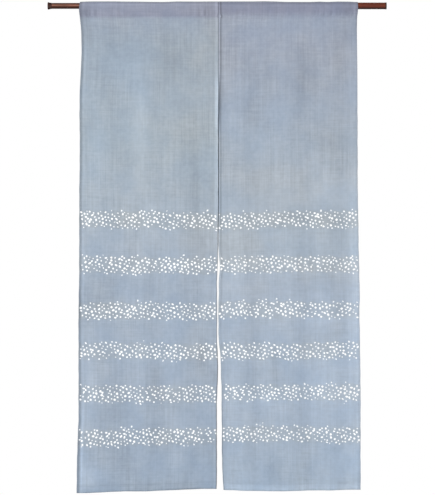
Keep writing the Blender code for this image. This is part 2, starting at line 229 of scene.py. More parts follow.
# Soft lighter and darker places painted on the cloth: mostly painted light and shade of its folds, creases
# and edges, with some of the cloth's own uneven tone
Patch = namedtuple("Patch", "x z half_width half_height lighter")
PATCHES = [Patch(*row) for row in (
    (-230, -365, 26, 140, 0.12), (-227, -283, 20, 45, 0.05), (-209, -640, 28, 110, 0.09),
    (-206, -719, 30, 40, 0.05), (-138, -160, 36, 75, -0.1), (-307, -111, 50, 40, -0.05),
    (-60, -120, 24, 55, 0.05), (-68, -267, 26, 42, 0.05), (-62, -510, 38, 170, -0.07),
    (-62, -550, 16, 70, -0.06), (-320, -402, 20, 85, -0.05), (-369, -479, 24, 150, 0.05),
    (-344, -841, 60, 120, -0.05), (-344, -894, 42, 34, -0.05), (-108, -903, 85, 55, -0.035),
    (-46, -1072, 12, 50, -0.11), (-13, -1075, 10, 40, 0.08), (-6, -1136, 16, 30, -0.14),
    (-185, -1142, 18, 45, -0.12), (-381, -1142, 20, 75, 0.11), (-307, -1210, 42, 95, -0.08),
    (-237, -1118, 16, 70, 0.06), (-286, -1370, 32, 58, -0.1), (-188, -1333, 30, 50, -0.05),
    (-108, -1287, 36, 34, 0.05), (-123, -1400, 28, 60, 0.05), (-40, -1342, 32, 55, -0.05),
    (-381, -1437, 36, 30, 0.11), (58, -129, 36, 60, -0.05), (144, -206, 46, 75, -0.07),
    (276, -218, 40, 85, -0.09), (270, -212, 22, 40, -0.05), (402, -89, 36, 38, -0.09),
    (104, -335, 30, 50, -0.05), (169, -327, 26, 45, 0.05), (353, -418, 42, 42, -0.08),
    (224, -519, 70, 80, 0.045), (353, -559, 62, 55, 0.08), (410, -553, 26, 75, 0.06),
    (240, -650, 150, 26, -0.04), (420, -780, 22, 140, 0.13), (331, -786, 55, 110, -0.045),
    (49, -841, 30, 60, 0.06), (347, -964, 70, 22, 0.09), (416, -980, 22, 90, 0.08),
    (92, -1013, 42, 50, -0.05), (178, -1081, 16, 45, -0.09), (368, -1142, 78, 110, 0.12),
    (92, -1155, 26, 42, -0.07), (184, -1152, 26, 32, -0.07), (147, -1210, 18, 20, 0.08),
    (196, -1302, 62, 34, -0.07), (178, -1416, 34, 40, -0.1), (86, -1443, 32, 20, 0.06),
    (393, -1410, 40, 50, 0.05), (434, -880, 20, 330, 0.1), (415, -250, 25, 110, 0.03),
    (-405, -410, 28, 140, -0.035), (-392, -1250, 28, 60, 0.04), (16, -285, 16, 45, -0.08),
    (150, -310, 110, 70, -0.02), (-210, -657, 210, 20, -0.045), (220, -657, 210, 20, -0.045),
    (47, -1317, 30, 24, -0.06), (393, -1256, 30, 40, 0.05), (300, -1462, 50, 22, 0.05),
    (-190, -1400, 16, 90, 0.05), (-432, -1420, 4, 110, -0.08), (-424, -1415, 3.5, 90, -0.16),
    (-415, -1410, 5, 100, 0.18), (-398, -1425, 14, 70, 0.06), (-392, -1452, 34, 32, 0.1),
    (-411, -1260, 4, 50, 0.1), (-416, -930, 14, 70, -0.11), (-421, -930, 4, 60, -0.1),
    (-403, -82, 12, 42, -0.12), (-400, -14, 22, 22, -0.11), (400, -12, 42, 18, -0.08),
    (427, -12, 3, 16, -0.12), (420, -1400, 26, 70, 0.1), (390, -1440, 45, 26, 0.05),
    (-392, -1482, 44, 12, 0.09), (-65, -1484, 66, 3.5, -0.3), (-411, -24, 6, 24, -0.16),
    (-398, -24, 4, 18, -0.13), (-372, -18, 4, 14, -0.1), (421, -12, 4, 18, 0.12),
    (429, -46, 4, 22, -0.14), (404, -14, 10, 16, -0.07), (34, -540, 34, 110, -0.045),
    (140, -310, 60, 60, -0.03), (-32, -16, 12, 16, -0.1),
)]

# Places where the dye is greyer and warmer, or bluer where the number is below 0
Tint = namedtuple("Tint", "x z half_width half_height warmer")
TINTS = [Tint(*row) for row in (
    (-310, -200, 110, 150, -0.7), (-180, -470, 150, 140, 0.25), (-375, -480, 50, 120, -0.3),
    (-20, -130, 50, 90, 0.7), (-8, -90, 14, 70, 0.8), (-12, -290, 16, 60, 0.6),
    (-12, -560, 14, 60, 0.6), (-90, -330, 70, 90, 0.5), (-30, -730, 80, 70, 0.9),
    (-240, -560, 60, 60, 0.4), (150, -330, 120, 90, -0.8), (300, -150, 120, 90, 0.4),
    (200, -560, 180, 80, 0.8), (330, -880, 90, 60, -0.3), (60, -900, 60, 80, 0.3),
    (70, -745, 60, 50, 0.8),
)]

# Painted light and shade along the two hems at the slit, read at a height: the left panel's edge line and its
# lit hem beside it, then the painted shadow on the right panel's edge where the left one stands in front, its
# hem and the line beside that. 1 leaves the cloth as it is.
HemShade = namedtuple("HemShade", "z left_line left_hem right_edge right_hem right_line")
HEM_SHADES = [HemShade(*row) for row in (
    (-6, 0.74, 1.2, 0.7, 1.18, 0.48), (-30, 0.74, 1.2, 0.7, 1.16, 0.48),
    (-44, 0.76, 1.17, 0.84, 1.12, 0.49), (-200, 0.78, 1.17, 0.84, 1.1, 0.5),
    (-245, 1.1, 1.47, 0.7, 0.7, 0.64), (-345, 1.1, 1.44, 0.66, 0.76, 0.68),
    (-400, 1.12, 1.2, 0.2, 1.16, 0.6), (-600, 1.12, 1.22, 0.2, 1.17, 0.62),
    (-740, 0.45, 1.08, 0.85, 1.08, 0.7), (-1000, 0.5, 1.04, 0.84, 1.0, 0.88),
    (-1090, 0.12, 1.08, 0.8, 1.02, 0.92), (-1145, 0.12, 1.08, 0.8, 1.02, 0.92),
    (-1190, 0.24, 1.03, 0.76, 1.02, 0.94), (-1300, 0.18, 1.06, 0.6, 1.03, 0.95),
    (-1480, 0.18, 1.06, 0.6, 1.06, 0.95),
)]
SLIT_HEM_REACH = 12.8
SLIT_HEM_FADE = 4.5
RIGHT_HEM_REACH = 7.0
LEFT_LINE_WIDTH = 1.9
RIGHT_EDGE_WIDTH = 1.7
RIGHT_EDGE_INSIDE = 1.8
RIGHT_EDGE_FREE_Z = -1000.0
RIGHT_LINE_WIDTH = 2.3
RIGHT_LINE_AT = 6.8
LEFT_EDGE_SHOWS_TO_X = 4.2
LEFT_FOLD_AT = 13.8
LEFT_FOLD_SHADE = 0.95
LEFT_FOLD_FROM_Z = -1020.0
PUCKER_REACH = 5.0
PUCKER_BOW = 2.6

# Painted light and shade over the top of the pocket
CrownShade = namedtuple("CrownShade", "z left right")
CROWN_SHADES = [CrownShade(*row) for row in (
    (13.5, 1.22, 1.28), (10.4, 1.22, 1.26), (7.4, 1.06, 0.92), (4.3, 1.14, 1.0),
    (1.2, 1.08, 1.02), (-2, 1.01, 1.01), (-6, 1.0, 1.0),
)]

# Along the outer hems and the bottom one: the left panel's hems a little darker and the right one's bottom
# hem lighter, painted shade on the rims and stitch lines, and painted light on lines beside them: factors,
# and distances from the cloth's edge
OUTER_HEM_SHADE = 0.75
OUTER_HEM_FADE = 3.0
OUTER_HEM_GLOW = 0.1
OUTER_HEM_GLOW_AT = 13.0
OUTER_HEM_GLOW_WIDTH = 3.2
FAINT_STITCH_SHADE = 0.95
RIGHT_RIM_SHADE = 0.82
RIGHT_RIM_WIDTH = 2.6
RIGHT_RIM_GLOW = 0.05
RIGHT_RIM_GLOW_AT = 9.0
RIGHT_RIM_GLOW_WIDTH = 4.0
LEFT_BOTTOM_HEM = 0.965
RIGHT_BOTTOM_HEM = 1.09
RIGHT_BOTTOM_GLOW = 1.07
RIGHT_BOTTOM_GLOW_FADE = 12.0
HEM_LINE_UP = 21.5
HEM_LINE_SHADE = 0.9
HEM_LINE_WIDTH = 2.4
BOTTOM_RIM_SHADE = 0.7
BOTTOM_RIM_WIDTH = 2.6

# Painted light and shade of the pocket's gathers
GATHER_SHADE = 0.14
GATHER_SHADE_Z = -24.0
GATHER_SHADE_REACH = 14.0


def linear(red, green, blue):
    """A screen colour of three numbers up to 255, as linear light."""
    parts = np.array([red, green, blue]) / 255.0
    return tuple(np.where(parts > 0.04045, ((parts + 0.055) / 1.055) ** 2.4, parts / 12.92))


# Reading the tables


def read(table, key, value, at, blur=0.0):
    """A table's value column at places in its key column, with its corners rounded by the blur."""
    rows = sorted(table, key=lambda row: getattr(row, key))
    keys = [getattr(row, key) for row in rows]
    values = [getattr(row, value) for row in rows]
    places = np.asarray(at, float)[..., None] + blur * np.linspace(-1.0, 1.0, BLUR_SAMPLES)
    return np.interp(places, keys, values).mean(axis=-1)


def edge_x(edge, z):
    return read(edge, "z", "x", z, EDGE_BLUR)


def smooth_step(t):
    t = np.clip(t, 0.0, 1.0)
    return t * t * (3.0 - 2.0 * t)


def hump(away):
    """1 in the middle, falling off smoothly to 0."""
    return np.exp(-(away**2))


# Relief of the hanging cloth


def wave_forward(x, z):
    down = np.clip((STITCH_Z - z) / HANGING_LENGTH, 0.0, 1.0)
    total = np.zeros_like(x)
    for wave in WAVES:
        middle = wave.x_top + (wave.x_bottom - wave.x_top) * down
        total += wave.depth * hump((x - middle) / wave.half_width)
    strength = WAVE_AT_POCKET + (1.0 - WAVE_AT_POCKET) * down
    return strength * total * smooth_step((STITCH_Z - z) / WAVE_FADE)


def crease_forward(creases, x, z):
    total = np.zeros_like(x)
    for crease in creases:
        slant = math.radians(crease.slant)
        across = (x - crease.x) * math.cos(slant) + (z - crease.z) * math.sin(slant)
        along = (z - crease.z) * math.cos(slant) - (x - crease.x) * math.sin(slant)
        away = (across / crease.half_width) ** 2 + (along / crease.half_length) ** 2
        total += crease.depth * np.exp(-away)
    return total


def soft_ripples():
    """Faint folds at random places, so that no stretch of the cloth is quite even."""
    random = np.random.default_rng(SEED)
    ripples = []
    for _ in range(SOFT_RIPPLES):
        ripples.append(Crease(
            x=random.uniform(-430, 440),
            z=random.uniform(-1500, -60),
            half_length=random.uniform(40, 130),
            half_width=random.uniform(8, 20),
            slant=random.normal(0, 14),
            depth=random.normal(0, SOFT_RIPPLE_DEPTH),
        ))
    return ripples


def slit_forward(panel, x, z):
    """The panel's own swing near the slit, on top of the waves that run on across it."""
    edge = panel.right_edge if panel.slit_side == "right" else panel.left_edge
    column = "left" if panel.slit_side == "right" else "right"
    swing = read(SLIT_FORWARD, "z", column, z, EDGE_BLUR)
    return swing * hump((x - edge_x(edge, z)) / SLIT_REACH)


def gather_wave(x):
    """The gathers' ins and outs along the pole, deeper where the table says."""
    depth = 0.12 + sum(gather.depth * hump((x - gather.x) / gather.half_length) for gather in GATHERS)
    total = np.zeros_like(x)
    for index, period in enumerate(GATHER_PERIODS):
        total += np.sin(2.0 * math.pi * x / period + 1.7 * index) / len(GATHER_PERIODS)
    return depth * total


def stitch_dent(z, stitch_z):
    return STITCH_DENT * hump((z - stitch_z) / 2.2)


def tucked_back(panel, z):
    """How far along the seam the right panel's hem stands back from the left one, from 0 to 1."""
    if panel is LEFT_PANEL:
        return np.zeros_like(z)
    return smooth_step((z - TUCK_END_Z) / TUCK_END_RUN) * smooth_step((STITCH_Z - z) / TUCK_BACK_RUN)


def tucked_under(panel, z):
    """How far that hem goes on under the left one, once it has cleared it, from 0 to 1."""
    if panel is LEFT_PANEL:
        return np.zeros_like(z)
    top = STITCH_Z - TUCK_BACK_RUN
    cleared = smooth_step((z - TUCK_END_Z - TUCK_END_RUN) / TUCK_END_RUN)
    return cleared * smooth_step((top - z) / TUCK_UNDER_RUN)


def front_y(panel, x, z):
    forward = wave_forward(x, z) + slit_forward(panel, x, z)
    behind = smooth_step((TUCK_REACH - (x - edge_x(panel.left_edge, z))) / TUCK_REACH)
    forward -= TUCK_BACK * behind * tucked_back(panel, z)
    forward += crease_forward(CREASES, x, z)
    small = crease_forward(SMALL_CREASES, x, z) + crease_forward(RIPPLES, x, z)
    forward += small * smooth_step((STITCH_Z - z) / SMALL_FOLD_FADE)
    forward += gather_wave(x) * GATHER_STRENGTH * np.exp(-(STITCH_Z - z) / GATHER_REACH_DOWN)
    return -CLOTH - forward + stitch_dent(z, STITCH_Z)


RIPPLES = soft_ripples()


# The mesh of a panel: rows run from the bottom edge up the front, over the pole and down to the
# stitch line at the back, and columns run from the left edge to the right one.


def column_distances():
    left = np.array(EDGE_STATIONS)
    right = PANEL_WIDTH - left[::-1]
    between = np.linspace(left[-1], right[0], COLUMNS_BETWEEN + 2)[1:-1]
    return np.concatenate([left, between, right])


def uneven(along, phase):
    """A small wandering of an edge or a stitch line, from -1 to 1."""
    return 0.5 * np.sin(along / 17.0 + phase) + 0.5 * np.sin(along / 7.3 + 2.1 * phase)


def panel_x(panel, share, z):
    """X at a share of the panel's width. The free edges wander a little, and the seam's don't."""
    free = smooth_step((SEAM_END_Z - 55.0 - z) / 60.0)
    left = edge_x(panel.left_edge, z) + EDGE_UNEVENNESS * free * uneven(z, panel.u_start)
    right = edge_x(panel.right_edge, z) + EDGE_UNEVENNESS * free * uneven(z, panel.u_start + 1.0)
    left = left - TUCK_WIDTH * tucked_under(panel, z)
    return left + share * (right - left)


def hem_share(distances):
    """1 inside the side hems and 0 between them, along the columns."""
    inside = np.minimum(distances, PANEL_WIDTH - distances)
    return smooth_step((SIDE_HEM + 0.3 - inside) / 0.8)


def flat_skin(panel, share):
    """The front of the hanging part from the bottom edge up to the stitch line."""
    bottom = read(BOTTOM_EDGE, "x", "z", panel_x(panel, share, BOTTOM_EDGE[0].z), EDGE_BLUR)
    bottom = bottom + 0.5 * EDGE_UNEVENNESS * uneven(share * PANEL_WIDTH, panel.u_start + 3.0)
    low = [bottom + station for station in BOTTOM_STATIONS]
    high = [np.full_like(bottom, STITCH_Z - station) for station in STITCH_STATIONS]
    between = [low[-1] + (high[0] - low[-1]) * t for t in np.linspace(0, 1, ROWS_BETWEEN + 2)[1:-1]]
    z = np.array([*low, *between, *high])
    x = panel_x(panel, share, z)
    return np.stack([x, front_y(panel, x, z), z], axis=-1)


def pocket_skin(panel, share, front, thickness):
    """The layer over the pole, from the row after the front stitch line to the turned edge at the back."""
    x = panel_x(panel, share, 0.0)
    ease = MOUTH_EASE * hump((x - TUBE_MOUTH_X) / MOUTH_EASE_REACH)
    half_width = POCKET_HALF_WIDTH + CLOTH + ease
    crown = read(TOP_EDGE, "x", "z", x) + 0.12 * np.abs(gather_wave(x * 1.3))
    slack = POCKET_SLACK * (0.5 + 0.5 * np.sin(2.0 * math.pi * x / POCKET_SLACK_WAVE))
    back_y = front[1] + thickness + LAYER_GAP + thickness + SHEET
    arc = []
    for angle in np.radians(np.arange(POCKET_ARC_START, POCKET_ARC_END + 1.0, ARC_STEP)):
        height = np.where(math.sin(angle) > 0.0, crown, half_width)
        arc.append((-half_width * math.cos(angle), height * math.sin(angle)))
    rows = []
    for t in np.linspace(0.0, 1.0, STRAIGHT_ROWS + 2)[1:-1]:
        y = front[1] + (arc[0][0] - front[1]) * t
        bulge = slack * math.sin(math.pi * t) + gather_wave(x) * GATHER_STRENGTH * (1.0 - t) * (1.0 + 4.0 * t)
        rows.append((y - bulge, STITCH_Z + (arc[0][1] - STITCH_Z) * t))
    rows += arc
    for t in np.linspace(0.0, 1.0, STRAIGHT_ROWS + 2)[1:-1]:
        y = arc[-1][0] + (back_y - arc[-1][0]) * t
        bulge = 0.5 * slack * math.sin(math.pi * t) - gather_wave(x + 31.0) * 0.5 * t * (1.0 - t) * 4.0
        rows.append((y + bulge, arc[-1][1] + (STITCH_Z - arc[-1][1]) * t))
    rows.append((back_y - STITCH_DENT, np.full_like(x, STITCH_Z)))
    for down in POCKET_TAIL:
        rows.append((back_y - STITCH_DENT * math.exp(-down), np.full_like(x, STITCH_Z - down)))
    y = np.array([row[0] for row in rows])
    z = np.array([row[1] + 0.0 * x for row in rows])
    behind_pole = smooth_step((y + 4.0) / 10.0)
    at_join = hump((x - RIGHT_INNER[0].x) / JOIN_REACH)
    return np.stack([panel_x(panel, share, z) - JOIN_OFFSET * behind_pole * at_join, y, z], axis=-1)


def softened(rows, passes):
    """Rows of points drawn towards their neighbours along the columns, all but the two end rows."""
    for _ in range(passes):
        middle = 0.25 * rows[:-2] + 0.5 * rows[1:-1] + 0.25 * rows[2:]
        rows = np.concatenate([rows[:1], middle, rows[-1:]])
    return rows


def normals_of(skin):
    along_rows = np.gradient(skin, axis=0)
    along_columns = np.gradient(skin, axis=1)
    normals = np.cross(along_columns, along_rows)
    return normals / np.linalg.norm(normals, axis=-1, keepdims=True)


def rim_factors(count):
    """How thick the sheet is at each row or column, as a share, rounding its rims."""
    factors = np.ones(count)
    for index, factor in enumerate(RIM_SQUEEZE):
        factors[index] = factor
        factors[-1 - index] = factor
    return factors


def sheet_thickness(skin, share, flat_rows):
    """One layer, more inside the hems, and two layers at the pocket's turned edge."""
    side = hem_share(share * PANEL_WIDTH)
    thickness = np.full(skin.shape[:2], SHEET) + HEM_EXTRA * side
    up = skin[:flat_rows, :, 2] - skin[0, :, 2]
    thickness[:flat_rows] += HEM_EXTRA * smooth_step((BOTTOM_HEM + 0.3 - up) / 0.9)
    tail = len(POCKET_TAIL) + 3
    thickness[-tail:] += SHEET * smooth_step(np.linspace(0.0, 1.6, tail))[:, None]
    return thickness


def cloth_skins(panel):
    """The panel's outer and inner skin, as rows x columns of points, and how many rows hang flat."""
    share = column_distances() / PANEL_WIDTH
    flat = flat_skin(panel, share)
    side = hem_share(share * PANEL_WIDTH)
    pocket = pocket_skin(panel, share, (0.0, flat[-1, :, 1]), SHEET + HEM_EXTRA * side)
    outer = np.concatenate([flat, pocket])
    top = len(flat) - 1
    outer[top : -len(POCKET_TAIL)] = softened(outer[top : -len(POCKET_TAIL)], 2)
    thickness = sheet_thickness(outer, share, len(flat))
    normals = normals_of(outer)
    factors = rim_factors(outer.shape[0])[:, None] * rim_factors(outer.shape[1])[None, :]
    middle = outer - normals * (0.5 * thickness)[..., None]
    half = normals * (0.5 * thickness * factors)[..., None]
    return middle + half, middle - half, len(flat)


def grid_faces(rows, columns, start, flip):
    """Quads over a grid of points numbered row by row from start."""
    index = start + np.arange(rows * columns).reshape(rows, columns)
    corners = [index[:-1, :-1], index[:-1, 1:], index[1:, 1:], index[1:, :-1]]
    if flip:
        corners.reverse()
    return np.stack(corners, axis=-1).reshape(-1, 4)


def rim_faces(rows, columns):
    """Quads that join the rims of the two skins all the way round."""
    index = np.arange(rows * columns).reshape(rows, columns)
    ring = np.concatenate([index[0, :], index[1:, -1], index[-1, -2::-1], index[-2:0:-1, 0]])
    after = np.roll(ring, -1)
    inner = rows * columns
    return np.stack([after, ring, ring + inner, after + inner], axis=-1)


def cloth_coordinates(panel, outer, flat_rows):
    """Each point's place on the cloth in metres: across it, and along it from the stitch line.
    The print's bands are level in it, so it sags where they do."""
    rows, columns = outer.shape[:2]
    distances = column_distances()
    across = np.broadcast_to(panel.u_start + distances, (rows, columns))
    steps = np.linalg.norm(np.diff(outer[:, :, 1:], axis=0), axis=-1)
    along = outer[:, :, 2].copy()
    for row in range(flat_rows, rows):
        along[row] = along[row - 1] + steps[row - 1]
    along[:flat_rows] -= print_sag(panel, outer[:flat_rows])
    return np.stack([across, along], axis=-1) * MM


def print_sag(panel, skin):
    """How far the print stands above its level height, between bands and along each of them."""
    side = "left" if panel is LEFT_PANEL else "right"
    places = ("end", "middle", "slit") if side == "left" else ("slit", "middle", "end")
    share = np.linspace(0.0, 1.0, skin.shape[1])
    heights = [STITCH_Z]
    sags = [np.zeros_like(share)]
    for band in BANDS:
        levels = [getattr(band, f"{side}_{place}") - band.height for place in places]
        heights.append(band.height)
        sags.append(np.interp(share, (0.0, 0.5, 1.0), levels))
    order = np.argsort(heights)
    heights = np.array(heights)[order]
    sags = np.array(sags)[order]
    sag = np.empty(skin.shape[:2])
    for column in range(skin.shape[1]):
        sag[:, column] = np.interp(skin[:, column, 2], heights, sags[:, column])
    return sag


def soft_places(table, column, skin):
    """The sum of a table's soft round places at each point of a skin."""
    x, z = skin[..., 0], skin[..., 2]
    total = np.zeros(skin.shape[:2])
    for place in table:
        away = ((x - place.x) / place.half_width) ** 2 + ((z - place.z) / place.half_height) ** 2
        total += getattr(place, column) * np.exp(-away)
    return total


def faded(factor, share):
    """A factor on the brightness at full share, and none at 0."""
    return 1.0 + (factor - 1.0) * share


def shade_of(panel, skin, flat_rows):
    """How bright the cloth is along its hems, its seam and its pocket, as a factor: painted light and shade
    at the slit, the seam, the rims, the stitch lines and over the pocket, and hem strips made a little darker
    or lighter.
    """
    distances = column_distances()
    x, z = skin[..., 0], skin[..., 2]
    bow = PUCKER_BOW * hump((z - STITCH_Z) / PUCKER_REACH)
    if panel is LEFT_PANEL:
        lines = left_hem_lines(PANEL_WIDTH - distances, z, bow)
        outer_side = distances
        shade = lines * faded(OUTER_HEM_SHADE, smooth_step((SIDE_HEM + 1.0 - outer_side) / OUTER_HEM_FADE))
        shade *= 1.0 + OUTER_HEM_GLOW * hump((outer_side - OUTER_HEM_GLOW_AT) / OUTER_HEM_GLOW_WIDTH)
    else:
        lines = right_hem_lines(x, z, bow)
        outer_side = PANEL_WIDTH - distances
        shade = lines * faded(FAINT_STITCH_SHADE, hump(outer_side - HEM_STITCH_INSET))
        shade *= faded(RIGHT_RIM_SHADE, hump(outer_side / RIGHT_RIM_WIDTH))
        shade *= 1.0 + RIGHT_RIM_GLOW * hump((outer_side - RIGHT_RIM_GLOW_AT) / RIGHT_RIM_GLOW_WIDTH)
    up = skin[:flat_rows, :, 2] - skin[0, :, 2]
    hem = smooth_step((BOTTOM_HEM + 0.6 - up) / 1.5)
    if panel is LEFT_PANEL:
        line = hump((up - HEM_LINE_UP) / HEM_LINE_WIDTH)
        shade[:flat_rows] *= faded(LEFT_BOTTOM_HEM, hem) * faded(HEM_LINE_SHADE, line)
    else:
        glow = hem * smooth_step((BOTTOM_HEM - up) / RIGHT_BOTTOM_GLOW_FADE)
        shade[:flat_rows] *= faded(RIGHT_BOTTOM_HEM, hem) * faded(RIGHT_BOTTOM_GLOW, glow)
    shade[:flat_rows] *= faded(BOTTOM_RIM_SHADE, hump(up / BOTTOM_RIM_WIDTH))
    crown = read(CROWN_SHADES, "z", "left" if panel is LEFT_PANEL else "right", z)
    shade *= np.where(np.arange(len(skin))[:, None] >= flat_rows, crown, 1.0)
    in_pocket = np.zeros_like(z)
    in_pocket[flat_rows:] = hump((z[flat_rows:] - GATHER_SHADE_Z) / GATHER_SHADE_REACH)
    shade *= 1.0 - GATHER_SHADE * gather_wave(x) * in_pocket
    return shade


def left_hem_lines(slit_side, z, bow):
    """Painted light and shade of the left panel's hem at the slit: the lit hem, the line of its edge and the
    painted shade of a fold beside it.
    """
    hem = smooth_step((SLIT_HEM_REACH - slit_side) / SLIT_HEM_FADE)
    line = hump((slit_side - 0.3 - bow) / LEFT_LINE_WIDTH)
    fold = hump((slit_side - LEFT_FOLD_AT) / LEFT_LINE_WIDTH) * smooth_step((LEFT_FOLD_FROM_Z - z) / 60.0)
    shade = faded(read(HEM_SHADES, "z", "left_hem", z, EDGE_BLUR), hem) * faded(LEFT_FOLD_SHADE, fold)
    return shade * faded(read(HEM_SHADES, "z", "left_line", z, EDGE_BLUR), line)


def right_hem_lines(x, z, bow):
    """Painted light and shade of the right panel's hem: the painted shadow along the line where it comes out
    from behind the left one, the hem, and the line beside the hem."""
    shows_from = np.maximum(edge_x(RIGHT_INNER, z), LEFT_EDGE_SHOWS_TO_X)
    beside = x - shows_from
    hem = smooth_step((RIGHT_HEM_REACH + 1.5 - beside) / SLIT_HEM_FADE)
    shade = faded(read(HEM_SHADES, "z", "right_hem", z, EDGE_BLUR), hem)
    inside = RIGHT_EDGE_INSIDE * smooth_step((RIGHT_EDGE_FREE_Z - z) / 100.0)
    edge = hump(np.maximum(x - shows_from - inside, 0.0) / RIGHT_EDGE_WIDTH)
    shade *= faded(read(HEM_SHADES, "z", "right_edge", z, EDGE_BLUR), edge)
    line = hump((beside - RIGHT_LINE_AT - bow) / RIGHT_LINE_WIDTH)
    return shade * faded(read(HEM_SHADES, "z", "right_line", z, EDGE_BLUR), line)


def store(mesh, name, values):
    layer = mesh.attributes.new(name, "FLOAT", "POINT")
    layer.data.foreach_set("value", np.asarray(values, np.float32).ravel())


def new_object(name, points, faces, materials):
    mesh = bpy.data.meshes.new(name)
    mesh.from_pydata((np.asarray(points) * MM).tolist(), [], faces.tolist())
    for material in materials:
        mesh.materials.append(material)
    mesh.update()
    made = bpy.data.objects.new(name, mesh)
    bpy.context.scene.collection.objects.link(made)
    return made


def cloth_panel(panel, material):
    outer, inner, flat_rows = cloth_skins(panel)
    rows, columns = outer.shape[:2]
    points = np.concatenate([outer.reshape(-1, 3), inner.reshape(-1, 3)])
    faces = np.concatenate([
        grid_faces(rows, columns, 0, False),
        grid_faces(rows, columns, rows * columns, True),
        rim_faces(rows, columns),
    ])
    made = new_object(panel.name, points, faces, [material])
    made.data.shade_smooth()
    places = cloth_coordinates(panel, outer, flat_rows).reshape(-1, 2)
    places = np.concatenate([places, places])
    corners = np.empty(len(made.data.loops), int)
    made.data.loops.foreach_get("vertex_index", corners)
    weave_map = made.data.uv_layers.new(name=WEAVE_MAP)
    weave_map.data.foreach_set("uv", places[corners].astype(np.float32).ravel())
    for name, values in (
        ("tone", soft_places(PATCHES, "lighter", outer)),
        ("tint", soft_places(TINTS, "warmer", outer)),
        ("shade", shade_of(panel, outer, flat_rows)),
    ):
        store(made.data, name, np.stack([values, values]))
    return made, outer, inner, flat_rows


# Stitches


def walk(line, pitch, length):
    """Starts and ends of stitches along a line of points."""
    steps = np.linalg.norm(np.diff(line, axis=0), axis=1)
    along = np.concatenate([[0.0], np.cumsum(steps)])
    starts = np.arange(0.4 * pitch, along[-1] - length, pitch)
    return [
        np.stack([np.interp(at, along, line[:, axis]) for axis in range(3)], axis=1)
        for at in (starts, starts + length)
    ]


def stitch_run(line, normals, sink):
    """One thread shape for each stitch of a line, as points and faces."""
    starts, ends = walk(line, STITCH_PITCH, STITCH_LENGTH)
    facing = np.mean(normals, axis=0)
    facing /= np.linalg.norm(facing)
    return thread_shapes(starts, ends, facing, sink)


def thread_shapes(starts, ends, facing, sink):
    """Threads from starts to ends that lie on the cloth and dip into it at both ends."""
    random = np.random.default_rng(SEED + len(starts))
    along = ends - starts
    length = np.linalg.norm(along, axis=1, keepdims=True)
    along = along / length
    side = np.cross(along, facing)
    side /= np.linalg.norm(side, axis=1, keepdims=True)
    up = np.cross(side, along)
    wander = random.normal(0.0, STITCH_WANDER, (len(starts), 1))
    radius = 0.5 * STITCH_THICKNESS
    profile = ((0.0, 0.35, -0.9), (0.14, 0.85, 0.0), (0.5, 1.0, 0.5), (0.86, 0.85, 0.0), (1.0, 0.35, -0.9))
    points = []
    for share, size, lift in profile:
        centre = starts + along * length * share + side * wander * (share - 0.5) * 2.0
        centre = centre + up * (radius * lift - sink)
        for step in range(STITCH_SIDES):
            angle = 2.0 * math.pi * step / STITCH_SIDES
            points.append(centre + radius * size * (side * math.cos(angle) + up * math.sin(angle)))
    points = np.stack(points, axis=1)
    rings = len(profile)
    ring = np.arange(STITCH_SIDES)
    after = (ring + 1) % STITCH_SIDES
    faces = []
    for index in range(rings - 1):
        low = index * STITCH_SIDES
        high = low + STITCH_SIDES
        faces.append(np.stack([low + ring, low + after, high + after, high + ring], axis=1))
    faces = np.concatenate(faces)
    caps = [ring[::-1], (rings - 1) * STITCH_SIDES + ring]
    return points, faces, caps


def stitch_piece(name, runs, material):
    """All the stitches of a panel as one mesh."""
    points = []
    faces = []
    start = 0
    for shapes, quads, caps in runs:
        size = shapes.shape[1]
        for shape in shapes:
            points.append(shape)
            faces += (quads + start).tolist()
            faces += [(cap + start).tolist() for cap in caps]
            start += size
    mesh = bpy.data.meshes.new(name)
    mesh.from_pydata((np.concatenate(points) * MM).tolist(), [], faces)
    mesh.materials.append(material)
    mesh.update()
    mesh.shade_smooth()
    made = bpy.data.objects.new(name, mesh)
    bpy.context.scene.collection.objects.link(made)
    return made


def panel_stitches(panel, outer, inner, flat_rows, material):
    distances = column_distances()
    column = int(np.argmin(abs(distances - HEM_STITCH_INSET)))
    columns = (column, len(distances) - 1 - column)
    bottom_row = BOTTOM_STATIONS.index(BOTTOM_STITCH_UP)
    stitch_row = flat_rows - 1
    tail = outer.shape[0] - len(POCKET_TAIL) - 1
    inside = slice(3, -3)
    front_normals = normals_of(outer)
    runs = []
    for at in columns:
        run = slice(2, stitch_row - 4)
        runs.append(stitch_run(outer[run, at], front_normals[run, at], 0.0))
        runs.append(stitch_run(inner[run, at], -front_normals[run, at], 0.0))
    for skin, normals, row in (
        (outer, front_normals, bottom_row),
        (inner, -front_normals, bottom_row),
        (outer, front_normals, stitch_row),
        (outer, front_normals, tail),
    ):
        runs.append(stitch_run(skin[row, inside], normals[row, inside], 0.0))
    return stitch_piece(panel.name.replace("cloth_panel", "stitches"), runs, material)


def seam_stitches(left_skin, right_skin, flat_rows, material):
    """The thread that joins the two panels, as slanting stitches across the join at the back."""
    left, right = left_skin[1], right_skin[1]
    heights = left[:flat_rows, -1, 2]
    rows = np.where((heights > SEAM_END_Z) & (heights < SEAM_STITCH_TOP_Z))[0]
    starts, _ = walk(left[rows, -3], SEAM_STITCH_PITCH, SEAM_STITCH_LENGTH)
    _, ends = walk(right[rows, 2], SEAM_STITCH_PITCH, SEAM_STITCH_LENGTH)
    count = min(len(starts), len(ends))
    facing = np.array([0.0, 1.0, 0.0])
    shapes = thread_shapes(starts[:count], ends[:count], facing, 0.0)
    return stitch_piece("stitches_seam", [shapes], material)


# Materials

WEAVE_MAP = "weave"
THREAD_PITCH = 1.05

# Streaks of thicker thread, as how many there are in a metre across and along, and how strong they are
SLUBS = (
    (250.0, 7.0, 0.042),
    (95.0, 3.0, 0.032),
    (16.0, 270.0, 0.032),
    (6.0, 110.0, 0.019),
)


